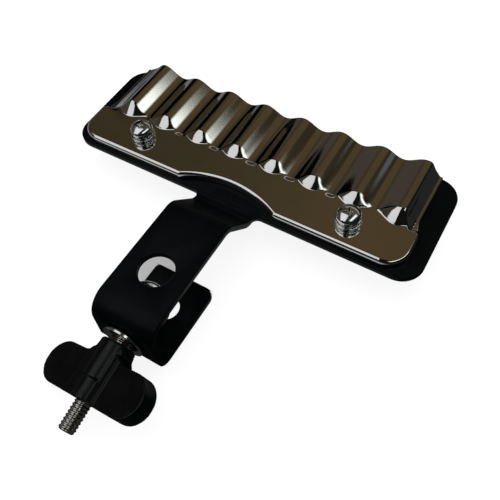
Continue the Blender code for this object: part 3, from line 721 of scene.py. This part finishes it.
def side_at(y, right):
    drawn = smooth((y - TIPS + RIDGE_RAMP / 2) / (2 * RIDGE_RAMP))
    deep = FLAT_EDGE + FLAT_CORNER - y
    corner = FLAT_CORNER - math.sqrt(max(FLAT_CORNER**2 - deep**2, 0)) if deep > 0 else 0.0
    if right:
        return FLAT_RIGHT - RIGHT_NARROW * drawn - corner
    return FLAT_LEFT + LEFT_NARROW * drawn + corner


def front_at(x):
    across = x - CUT_DX
    if abs(across) >= CUT_W / 2:
        return FLAT_EDGE
    return FLAT_EDGE + math.sqrt(CUT_R**2 - across**2) - CUT_R + CUT_DEPTH


def make_plate():
    """The sheet as a grid: a flat flange, a rolled lip, and ridges that the tree presses into it."""
    columns = [("left", k / COLUMNS_PER_SIDE) for k in range(COLUMNS_PER_SIDE)]
    step = RIDGE_PITCH / COLUMNS_PER_RIDGE
    count = COLUMNS_PER_RIDGE * (RIDGES - 1) + 1
    inner = [FIRST_CREST + RIDGE_PITCH * k / COLUMNS_PER_RIDGE for k in range(count)]
    for edge in (CUT_DX - CUT_W / 2, CUT_DX + CUT_W / 2):
        inner = [x for x in inner if abs(x - edge) > step / 3] + [edge]
    columns += [("x", x) for x in sorted(inner)]
    columns += [("right", k / COLUMNS_PER_SIDE) for k in range(1, COLUMNS_PER_SIDE + 1)]
    # the front edge's cut-out fades out at the line where the rows have settled
    settled = SCREW_AT_Y + (TIPS - SCREW_AT_Y) / 2
    turns = [math.pi / 2 * k / CORNER_ROWS for k in range(CORNER_ROWS + 1)]
    rows = [FLAT_EDGE + FLAT_CORNER * (1 - math.cos(t)) for t in turns]
    rows += [rows[-1] + (settled - rows[-1]) * k / 3 for k in range(1, 4)]
    nose_start, nose_end = TIPS - NOSE_BEFORE, TIPS + NOSE_AFTER
    rows += [settled + (nose_start - settled) * k / 3 for k in range(1, 3)]
    rows += [nose_start + (nose_end - nose_start) * k / NOSE_ROWS for k in range(NOSE_ROWS + 1)]
    rows += [nose_end + (PLATE_BACK - nose_end) * k / BACK_ROWS for k in range(1, BACK_ROWS + 1)]

    left_run = FIRST_CREST - side_at(PLATE_BACK, False)
    right_run = side_at(PLATE_BACK, True) - LAST_CREST
    flange = BASE_TOP + FLANGE_H
    bm = bmesh.new()
    side_share = bm.verts.layers.float.new("side_share")
    lip_share = bm.verts.layers.float.new("lip_share")
    tops = []
    for row in rows:
        line = []
        for kind, value in columns:
            left, right = side_at(row, False), side_at(row, True)
            x = value
            if kind == "left":
                x = left + (FIRST_CREST - left) * value
            elif kind == "right":
                x = LAST_CREST + (right - LAST_CREST) * value
            y = row
            if y < settled:
                front = front_at(x)
                y = front + (settled - front) * (y - FLAT_EDGE) / (settled - FLAT_EDGE)
            vert = bm.verts.new((x, y, flange))
            share = 0.0
            if kind == "left":
                share = (FIRST_CREST - x) / left_run
            elif kind == "right":
                share = max(x - LAST_CREST - RIGHT_HOLD, 0) / (right_run - RIGHT_HOLD)
            vert[side_share] = max(min(share, 1.0), 1e-4 if kind != "x" else 0.0)
            vert[lip_share] = 1.0
            line.append(vert)
        tops.append(line)
    for a, b in zip(tops, tops[1:]):
        for i in range(len(columns) - 1):
            bm.faces.new([a[i], a[i + 1], b[i + 1], b[i]])
    edge = [tops[j][0] for j in range(len(rows) - 1, 0, -1)] + tops[0]
    edge += [tops[j][-1] for j in range(1, len(rows))]
    turns = [math.pi / 2 * k / LIP_STEPS for k in range(1, LIP_STEPS + 1)]
    steps = [(LIP_R * math.sin(t), LIP_R * (1 - math.cos(t))) for t in turns]
    steps += [(LIP_R, LIP_R + (flange - PLATE_FLOOR - LIP_R) * k / 3) for k in range(1, 4)]
    rings = []
    for k, vert in enumerate(edge):
        a, b = edge[max(k - 1, 0)].co, edge[min(k + 1, len(edge) - 1)].co
        out = Vector((b.y - a.y, a.x - b.x, 0)).normalized()
        ring = [vert]
        for reach, fall in steps:
            spot = bm.verts.new((vert.co.x + out.x * reach, vert.co.y + out.y * reach, flange - fall))
            spot[side_share] = vert[side_share]
            spot[lip_share] = 1 - fall / (flange - PLATE_FLOOR)
            ring.append(spot)
        rings.append(ring)
    for a, b in zip(rings, rings[1:]):
        for k in range(len(a) - 1):
            bm.faces.new([a[k], b[k], b[k + 1], a[k + 1]])
    bmesh.ops.recalc_face_normals(bm, faces=bm.faces)
    plate = make_object("pressed_scraper_plate", bm, chrome)
    if plate.data.polygons[len(plate.data.polygons) // 3].normal.z < 0:
        plate.data.flip_normals()
    grow(plate, ridge_tree(), Pitch=RIDGE_PITCH, Rise=RIDGE_RISE, Ramp=RIDGE_RAMP, Material=chrome)
    wall = plate.modifiers.new("sheet", "SOLIDIFY")
    wall.thickness = PLATE_T
    wall.offset = -1
    wall.use_even_offset = True
    bake(plate)
    for x in SCREW_X:
        hole = cylinder(CLEAR_R, -SHEET, 3 * SHEET, 40)
        cut(plate, make_object("plate_cutter", moved(hole, Matrix.Translation((x, SCREW_AT_Y, 0)))))
    shade(plate, 40)
    finish_piece(plate, "frame", "scraper_plate")


# Screws, washers and nuts

def rounded_ring(inner, outer, thick, edge, steps=4):
    """Section of a flat washer with rounded edges."""
    section = arc((outer - edge, thick - edge), edge, 0, 90, steps)
    section += arc((inner + edge, thick - edge), edge, 90, 180, steps)
    section += arc((inner + edge, edge), edge, 180, 270, steps)
    section += arc((outer - edge, edge), edge, 270, 360, steps)
    return section


def add_thread(name, thread, mat, **sizes):
    seed = bmesh.new()
    seed.verts.new((0, 0, 0))
    rod = make_object(name, seed, mat)
    return grow(rod, thread, Material=mat, **sizes)


def join(pieces):
    bm = bmesh.new()
    for piece in pieces:
        bm.from_mesh(piece.data)
    keep = pieces[0]
    bm.to_mesh(keep.data)
    bm.free()
    for piece in pieces[1:]:
        bpy.data.objects.remove(piece)
    return keep


def make_washers(side, x, flat_z, lock_z):
    section = rounded_ring(CLEAR_R, FLAT_D / 2, FLAT_T, FLAT_EDGE_R)
    flat = make_object("plain_washer_" + side, turned(section, 72), zinc)
    place(flat, Matrix.Translation((x, SCREW_AT_Y, flat_z)))
    shade(flat)
    finish_piece(flat, "frame", "flat_washer_" + side)

    # the spring washer is split, and the two ends of the split lean
    bm = bmesh.new()
    section = rounded_ring(CLEAR_R, LOCK_D / 2, LOCK_T, LOCK_EDGE_R, 3)
    steps = 64
    rings = []
    for k in range(steps + 1):
        a = LOCK_SPLIT + LOCK_SPLIT_W / 2 + (2 * math.pi - LOCK_SPLIT_W) * k / steps
        lean = LOCK_LEAN if k in (0, steps) else 0.0
        ring = []
        for r, z in section:
            slant = (z / LOCK_T - 0.5) * lean / r
            ring.append(bm.verts.new((r * math.cos(a + slant), r * math.sin(a + slant), z)))
        rings.append(ring)
    count = len(section)
    for a, b in zip(rings, rings[1:]):
        for k in range(count):
            bm.faces.new([a[k], a[(k + 1) % count], b[(k + 1) % count], b[k]])
    bm.faces.new(rings[0])
    bm.faces.new(rings[-1])
    lock = make_object("spring_washer_" + side, bm, zinc)
    place(lock, Matrix.Translation((x, SCREW_AT_Y, lock_z)))
    shade(lock)
    finish_piece(lock, "frame", "lock_washer_" + side)


def make_cross():
    """Two tapered bars that cut the cross recess."""
    bm = bmesh.new()
    for quarter in (0, math.pi / 2):
        low, high = [], []
        for sx, sy in ((1, 1), (-1, 1), (-1, -1), (1, -1)):
            low.append(Vector((sx * RECESS_WIDE * 0.42, sy * RECESS_SLIM * 0.6, HEAD_H - RECESS_DEEP)))
            high.append(Vector((sx * RECESS_WIDE * 1.05, sy * RECESS_SLIM * 1.06, HEAD_H + 0.4 * MM)))
        spin = Matrix.Rotation(quarter, 3, "Z")
        low = [bm.verts.new(spin @ point) for point in low]
        high = [bm.verts.new(spin @ point) for point in high]
        bm.faces.new(low)
        bm.faces.new(high)
        for k in range(4):
            bm.faces.new([low[k], low[(k + 1) % 4], high[(k + 1) % 4], high[k]])
    return place(make_object("cross_cutter", bm), Matrix.Rotation(RECESS_TURN, 4, "Z"))


def make_screw(side, x, head_z, thread):
    head = HEAD_D / 2
    profile = [(0, 0), (head - HEAD_EDGE, 0), (head, HEAD_EDGE), (head, HEAD_RIM)]
    for a in range(6, 88, 6):
        up = math.radians(a)
        profile.append((head * math.cos(up) ** 0.9, HEAD_RIM + (HEAD_H - HEAD_RIM) * math.sin(up)))
    profile.append((0, HEAD_H))
    screw = make_object("pan_head_screw_" + side, turned(profile, 72), zinc)
    cross = make_cross()
    mod = screw.modifiers.new("recess", "BOOLEAN")
    mod.operation = "DIFFERENCE"
    mod.solver = "EXACT"
    mod.use_self = True
    mod.object = cross
    bake(screw)
    bpy.data.objects.remove(cross)
    mod = screw.modifiers.new("edge", "BEVEL")
    mod.width = 0.07 * MM
    mod.segments = 2
    mod.limit_method = "ANGLE"
    mod.angle_limit = math.radians(45)
    bake(screw)
    sunk = 0.5 * MM
    shank = add_thread("shank_" + side, thread, zinc, Radius=SCREW_D / 2, Depth=SCREW_THREAD,
                       Pitch=SCREW_PITCH, Length=SCREW_LEN + sunk, Point=SCREW_POINT, Around=40, Along=200)
    place(shank, Matrix.Translation((0, 0, sunk)) @ Matrix.Rotation(math.pi, 4, "X"))
    screw = join([screw, shank])
    place(screw, Matrix.Translation((x, SCREW_AT_Y, head_z)))
    shade(screw, 30)
    finish_piece(screw, "frame", "screw_" + side)


def make_nut(side, x):
    bm = bmesh.new()
    steps = 72
    flat_r = NUT_AF / 2
    near_face = [0.0, 0.12 * MM, 0.3 * MM, 0.55 * MM, 1.0 * MM]
    rings = []
    for z in near_face + [NUT_H - z for z in reversed(near_face)]:
        ring = []
        for k in range(steps):
            a = 2 * math.pi * k / steps
            hexagon = flat_r / math.cos((a % (math.pi / 3)) - math.pi / 6)
            r = min(hexagon, flat_r * 0.97 + min(z, NUT_H - z) * 1.7)
            ring.append(bm.verts.new((r * math.cos(a), r * math.sin(a), z - NUT_H)))
        rings.append(ring)
    lead = 0.25 * MM
    mouth = CLEAR_R + 0.2 * MM
    for r, z in ((mouth, 0), (CLEAR_R, -lead), (CLEAR_R, lead - NUT_H), (mouth, -NUT_H)):
        angles = [2 * math.pi * k / steps for k in range(steps)]
        rings.append([bm.verts.new((r * math.cos(a), r * math.sin(a), z)) for a in angles])
    for a, b in zip(rings, rings[1:] + rings[:1]):
        for k in range(steps):
            bm.faces.new([a[k], a[(k + 1) % steps], b[(k + 1) % steps], b[k]])
    nut = make_object("hex_nut_" + side, bm, zinc)
    place(nut, Matrix.Translation((x, SCREW_AT_Y, -SHEET / 2 - GAP)))
    shade(nut, 25)
    finish_piece(nut, "frame", "nut_" + side)


def make_screw_stack(side, x, thread):
    flat_z = BASE_TOP + FLANGE_H + GAP
    lock_z = flat_z + FLAT_T + GAP
    make_washers(side, x, flat_z, lock_z)
    make_screw(side, x, lock_z + LOCK_T + GAP, thread)
    make_nut(side, x)


# Eye bolt, clamp washer and wing nut

def make_clamp_washer():
    section = rounded_ring(BOLT_D / 2 + BOLT_FIT, WASHER_D / 2, WASHER_T, WASHER_EDGE_R, 6)
    washer = make_object("clamp_washer_plate", turned(section, 96), zinc)
    place(washer, Matrix.Translation((BOLT_DX + WASHER_DX, WASHER_Y + WASHER_T / 2, 0)) @ ON_BOLT)
    shade(washer)
    finish_piece(washer, "frame", "clamp_washer")


def make_eye_bolt(thread):
    outer = EYE_BORE_R + EYE_WALL
    eye_at = (WASHER_Y - EYE_Y) / math.cos(BOLT_DROOP)
    half, edge = EYE_H / 2 - EYE_EDGE, EYE_EDGE
    section = arc((outer - edge, half), edge, 0, 90, 6)
    section += arc((EYE_BORE_R + edge, half), edge, 90, 180, 6)
    section += arc((EYE_BORE_R + edge, -half), edge, 180, 270, 6)
    section += arc((outer - edge, -half), edge, 270, 360, 6)
    eye = make_object("eye_bolt_turned", turned(section, 96), nickel)
    place(eye, Matrix.Translation((0, -eye_at, 0)))
    start = eye_at + EYE_BORE_R + EYE_WALL / 2
    shank = add_thread("eye_shank", thread, nickel, Radius=BOLT_D / 2, Depth=THREAD_DEPTH,
                       Pitch=THREAD_PITCH, Length=BOLT_OUT - start, Point=BOLT_POINT, Around=64, Along=560,
                       **{"Plain Length": BOLT_NECK})
    place(shank, Matrix.Translation((0, -start, 0)) @ ON_BOLT)
    bolt = join([eye, shank])
    place(bolt, BOLT_AXIS)
    shade(bolt, 55)
    finish_piece(bolt, "eye_bolt", "eye_bolt")


def make_insert(bore_r, insert_r, insert_at, insert_end):
    long = insert_end - insert_at
    soft = 0.2 * MM
    body = arc((insert_r - soft, soft), soft, 0, -90, 3) + [(bore_r + 2 * soft, 0), (bore_r, 2 * soft)]
    body += [(bore_r, long), (insert_r, long)]
    insert = make_object("wing_nut_metal_insert", turned(body, 64), brass)
    place(insert, BOLT_AXIS @ Matrix.Translation((0, -insert_at, 0)) @ ON_BOLT)
    shade(insert)
    finish_piece(insert, "wing_nut", "wing_nut_insert")


def make_wing_nut():
    thrust = WASHER_T / 2 + GAP
    bore_r = BOLT_D / 2 + GAP
    insert_r = bore_r + INSERT_WALL
    hub_at = thrust + HUB_D / 2 * TILT
    insert_end = hub_at + HUB_LEN - INSERT_SHORT
    make_insert(bore_r, insert_r, thrust + insert_r * TILT, insert_end)

    wide, slim, edge = HUB_D / 2, HUB_END_D / 2, 0.6 * MM
    hub = [(0, 0), (wide - edge, 0), (wide, edge), (wide, HUB_STEP), (slim, HUB_STEP + edge)]
    hub += [(slim, HUB_LEN - edge), (slim - edge, HUB_LEN), (0, HUB_LEN)]
    solid = make_object("moulded_wing_nut", moved(turned(hub, 96), ON_BOLT), plastic)
    turn = Matrix.Rotation(-WING_TURN, 4, "Y")

    tip = (HUB_LEN - WING_SET) / 2
    reach = WING_SPAN / 2 - tip
    middle = -(HUB_LEN + WING_SET) / 2
    seat = wide - 0.2 * MM
    hollow_r, hollow_y = WING_ROOT_R, WING_ROOT_R - WING_SET
    outline = arc((reach, middle), tip, 90, -90, 48) + arc((-reach, middle), tip, -90, -270, 48)
    outline += arc((-seat - hollow_r, hollow_y), hollow_r, -90, 0, 12)
    outline += arc((seat + hollow_r, hollow_y), hollow_r, 180, 270, 12)
    cut(solid, make_object("wings", moved(prism(outline, -WING_T / 2, WING_T / 2), turn)), "UNION")

    outline = [(-RIB_HALF, -HUB_LEN + GAP), (-RIB_HALF, RIB_Y), (-seat, RIB_Y + RIB_HALF - seat),
               (seat, RIB_Y + RIB_HALF - seat), (RIB_HALF, RIB_Y), (RIB_HALF, -HUB_LEN + GAP)]
    rib = WING_T / 2 + RIB_RISE
    cut(solid, make_object("ribs", moved(prism(outline, -rib, rib), turn)), "UNION")

    pocket_r = insert_r + GAP
    pocket = insert_end + GAP - hub_at
    hollow = [(0, -HUB_LEN), (pocket_r, -HUB_LEN), (pocket_r, pocket), (bore_r, pocket)]
    hollow += [(bore_r, 2 * HUB_LEN), (0, 2 * HUB_LEN)]
    cut(solid, make_object("bore_cutter", moved(turned(hollow, 64), ON_BOLT)))

    mod = solid.modifiers.new("skin", "REMESH")
    mod.mode = "VOXEL"
    mod.voxel_size = VOXEL
    mod.use_smooth_shade = True
    bake(solid)
    # softer away from the thrust face, which stays flat at the washer
    soft = solid.vertex_groups.new(name="soft")
    for vert in solid.data.vertices:
        share = min(max((-vert.co.y - 1.5 * MM) / (3 * MM), 0.12), 1.0)
        soft.add([vert.index], share, "REPLACE")
    mod = solid.modifiers.new("soften", "SMOOTH")
    mod.factor = 0.5
    mod.iterations = 12
    mod.vertex_group = soft.name
    bake(solid)
    place(solid, BOLT_AXIS @ Matrix.Translation((0, -hub_at, 0)))
    solid.data.shade_smooth()
    finish_piece(solid, "wing_nut", "wing_nut")


# Floor, lights, world and camera

def band(tree, value, rise_from, rise_to, fall_from, fall_to):
    return sum_of(tree, "MULTIPLY", range_of(tree, value, rise_from, rise_to),
                  range_of(tree, value, fall_from, fall_to, 1.0, 0.0))


def mixed(tree, factor, a, b):
    made = node(tree, "ShaderNodeMix", data_type="RGBA")
    for name, value in (("Factor", factor), ("A", a), ("B", b)):
        feed(tree, made.inputs[name], (*value, 1) if isinstance(value, tuple) and len(value) == 3 else value)
    return made.outputs["Result"]


def make_floor():
    bm = bmesh.new()
    bmesh.ops.create_circle(bm, cap_ends=True, segments=96, radius=FLOOR_R)
    floor = make_object("pale_floor", bm)
    floor.location = (0, 0, FLOOR_Z)
    mat = bpy.data.materials.new("pale floor")
    mat.use_nodes = True
    tree = mat.node_tree
    shader = tree.nodes["Principled BSDF"]
    shader.inputs["Roughness"].default_value = 0.9
    shader.inputs["Specular IOR Level"].default_value = 0.0
    path = node(tree, "ShaderNodeLightPath").outputs
    # in reflections the floor's own colour is black: painted shade, so only its painted light pool shows
    # there
    seen = mixed(tree, path["Is Glossy Ray"], FLOOR_GREY, (0.0, 0.0, 0.0))
    tree.links.new(seen, shader.inputs["Base Color"])
    spot = node(tree, "ShaderNodeTexCoord").outputs["Object"]
    across, along, _ = parts_of(tree, spot)
    # a small pool of painted shade under the clamp, and a painted light pool, seen only in reflections, that
    # ends beside the object
    away = node(tree, "ShaderNodeVectorMath", operation="DISTANCE")
    tree.links.new(spot, away.inputs[0])
    away.inputs[1].default_value = PAINTED_SHADE_AT
    open_floor = range_of(tree, away.outputs["Value"], 0.006, 0.014, 0.30, 0.86)
    painted_light_pool = sum_of(tree, "MULTIPLY", range_of(tree, across, 0.055, 0.085, 0.40, 0.0),
                  range_of(tree, along, -0.01, 0.02))
    painted_light_pool = sum_of(tree, "MULTIPLY", painted_light_pool, range_of(tree, along, 0.08, 0.14, 1.0, 0.1))
    left = range_of(tree, across, -0.30, -0.20, 0.17, 0.0)
    painted_light_pool = sum_of(tree, "MAXIMUM", painted_light_pool, left)
    painted_light_pool = sum_of(tree, "ADD", painted_light_pool, 0.02)
    # camera rays see the floor with its painted shade, reflections see its painted light pool
    bright = sum_of(tree, "MULTIPLY", path["Is Camera Ray"], open_floor)
    bright = sum_of(tree, "ADD", bright, sum_of(tree, "MULTIPLY", path["Is Glossy Ray"], painted_light_pool))
    bright = sum_of(tree, "ADD", bright, path["Is Transmission Ray"])
    shader.inputs["Emission Color"].default_value = (1, 1, 1, 1)
    tree.links.new(bright, shader.inputs["Emission Strength"])
    floor.data.materials.append(mat)


def make_flag(name, corners):
    """A black card that only reflections see."""
    bm = bmesh.new()
    bm.faces.new([bm.verts.new(p) for p in corners])
    card = make_object(name, bm)
    mat = bpy.data.materials.new(name.replace("_", " "))
    mat.use_nodes = True
    shader = mat.node_tree.nodes["Principled BSDF"]
    shader.inputs["Base Color"].default_value = (0.0, 0.0, 0.0, 1)
    shader.inputs["Specular IOR Level"].default_value = 0.0
    card.data.materials.append(mat)
    card.visible_camera = False
    card.visible_diffuse = False
    card.visible_shadow = False


def make_lights():
    make_flag("left_flag", [(FLAG_X, y, z) for y, z in FLAG_OUTLINE])
    data = bpy.data.lights.new("overhead", "AREA")
    data.shape = "SQUARE"
    data.size = 0.8
    data.energy = 2.6
    lamp = bpy.data.objects.new("overhead", data)
    bpy.context.scene.collection.objects.link(lamp)
    lamp.location = (0.0, 0.05, 1.0)
    lamp.visible_glossy = False


def make_world():
    world = bpy.data.worlds.new("studio")
    bpy.context.scene.world = world
    world.use_nodes = True
    tree = world.node_tree
    back = tree.nodes["Background"]
    path = node(tree, "ShaderNodeLightPath").outputs
    way = node(tree, "ShaderNodeTexCoord").outputs["Generated"]
    # every limit below is a part of the reflected direction: x right, y away, z up
    x, y, z = parts_of(tree, way)

    ceiling = mixed(tree, range_of(tree, x, -0.5, -0.15), CEILING[0], CEILING[1])
    ceiling = mixed(tree, range_of(tree, x, 0.30, 0.42), ceiling, CEILING[2])
    ceiling = mixed(tree, range_of(tree, x, 0.50, 0.60), ceiling, DARK)
    low = mixed(tree, range_of(tree, x, -0.6, 0.2), LOW_WALL, DARK)
    room = mixed(tree, range_of(tree, z, 0.45, 0.62), low, ceiling)
    hidden = sum_of(tree, "MULTIPLY", range_of(tree, y, 0.34, 0.44, 1.0, 0.0),
                    range_of(tree, x, -0.72, -0.66))
    room = mixed(tree, hidden, room, DARK)
    horizon = sum_of(tree, "MULTIPLY", range_of(tree, z, 0.06, 0.12, 1.0, 0.0),
                     range_of(tree, x, -0.6, -0.4, 1.0, 0.0))
    skyline = mixed(tree, range_of(tree, y, 0.565, 0.578), SKYLINE[0], SKYLINE[1])
    skyline = mixed(tree, range_of(tree, y, 0.585, 0.60), skyline, DARK)
    room = mixed(tree, horizon, room, skyline)

    far_glow = sum_of(tree, "MULTIPLY", band(tree, z, 0.38, 0.46, 0.52, 0.60), range_of(tree, y, 0.70, 0.76))
    room = mixed(tree, far_glow, room, FAR_GLOW)
    cool = node(tree, "ShaderNodeVectorMath", operation="DOT_PRODUCT")
    tree.links.new(way, cool.inputs[0])
    cool.inputs[1].default_value = Vector(COOL_WAY).normalized()
    room = mixed(tree, range_of(tree, cool.outputs["Value"], 0.9973, 0.999), room, COOL_GLOW)

    front = sum_of(tree, "MULTIPLY", band(tree, x, -0.68, -0.65, -0.12, -0.10),
                   band(tree, y, -0.78, -0.74, 0.27, 0.29))
    front = sum_of(tree, "MULTIPLY", front, range_of(tree, z, 0.28, 0.32))
    room = mixed(tree, front, room, FRONT_WINDOW)
    fade = sum_of(tree, "ADD", range_of(tree, y, 0.520, 0.548, 0.62, 0.0),
                  range_of(tree, y, 0.535, 0.585, 0.38, 0.0))
    side = sum_of(tree, "MULTIPLY", band(tree, x, 0.18, 0.34, 0.39, 0.52), fade)
    side = sum_of(tree, "MULTIPLY", side, band(tree, y, -0.40, -0.34, 0.9, 1.0))
    side = sum_of(tree, "MULTIPLY", side, range_of(tree, z, 0.28, 0.36))
    room = mixed(tree, side, room, SIDE_WINDOW)
    seen = mixed(tree, path["Is Glossy Ray"], FILL_GREY, room)
    seen = mixed(tree, path["Is Camera Ray"], seen, WHITE)
    tree.links.new(seen, back.inputs["Color"])
    bpy.context.scene.view_settings.view_transform = "Standard"


def make_camera():
    data = bpy.data.cameras.new("camera")
    data.lens = 41.325
    data.sensor_width = 36.0
    data.sensor_fit = "HORIZONTAL"
    data.shift_x = 0.0006
    data.shift_y = -0.00026
    data.clip_start = 0.01
    camera = bpy.data.objects.new("camera", data)
    bpy.context.scene.collection.objects.link(camera)
    right = Vector((0.8563678453100144, 0.511929383595002, -0.06754568625104242))
    down = Vector((0.3986261962080122, -0.7385694609852643, -0.5437024066496923))
    ahead = Vector((-0.32822441898160826, 0.43868377849195334, -0.8365556008253177))
    place_in = Matrix((right, -down, -ahead)).transposed().to_4x4()
    place_in.translation = (0.08764, -0.06358, 0.17608)
    camera.matrix_world = place_in
    bpy.context.scene.camera = camera


make_camera()
make_bracket()
make_plate()
rolled = thread_tree()
for side, at_x in zip(("left", "right"), SCREW_X):
    make_screw_stack(side, at_x, rolled)
make_clamp_washer()
make_eye_bolt(rolled)
make_wing_nut()
make_floor()
make_lights()
make_world()
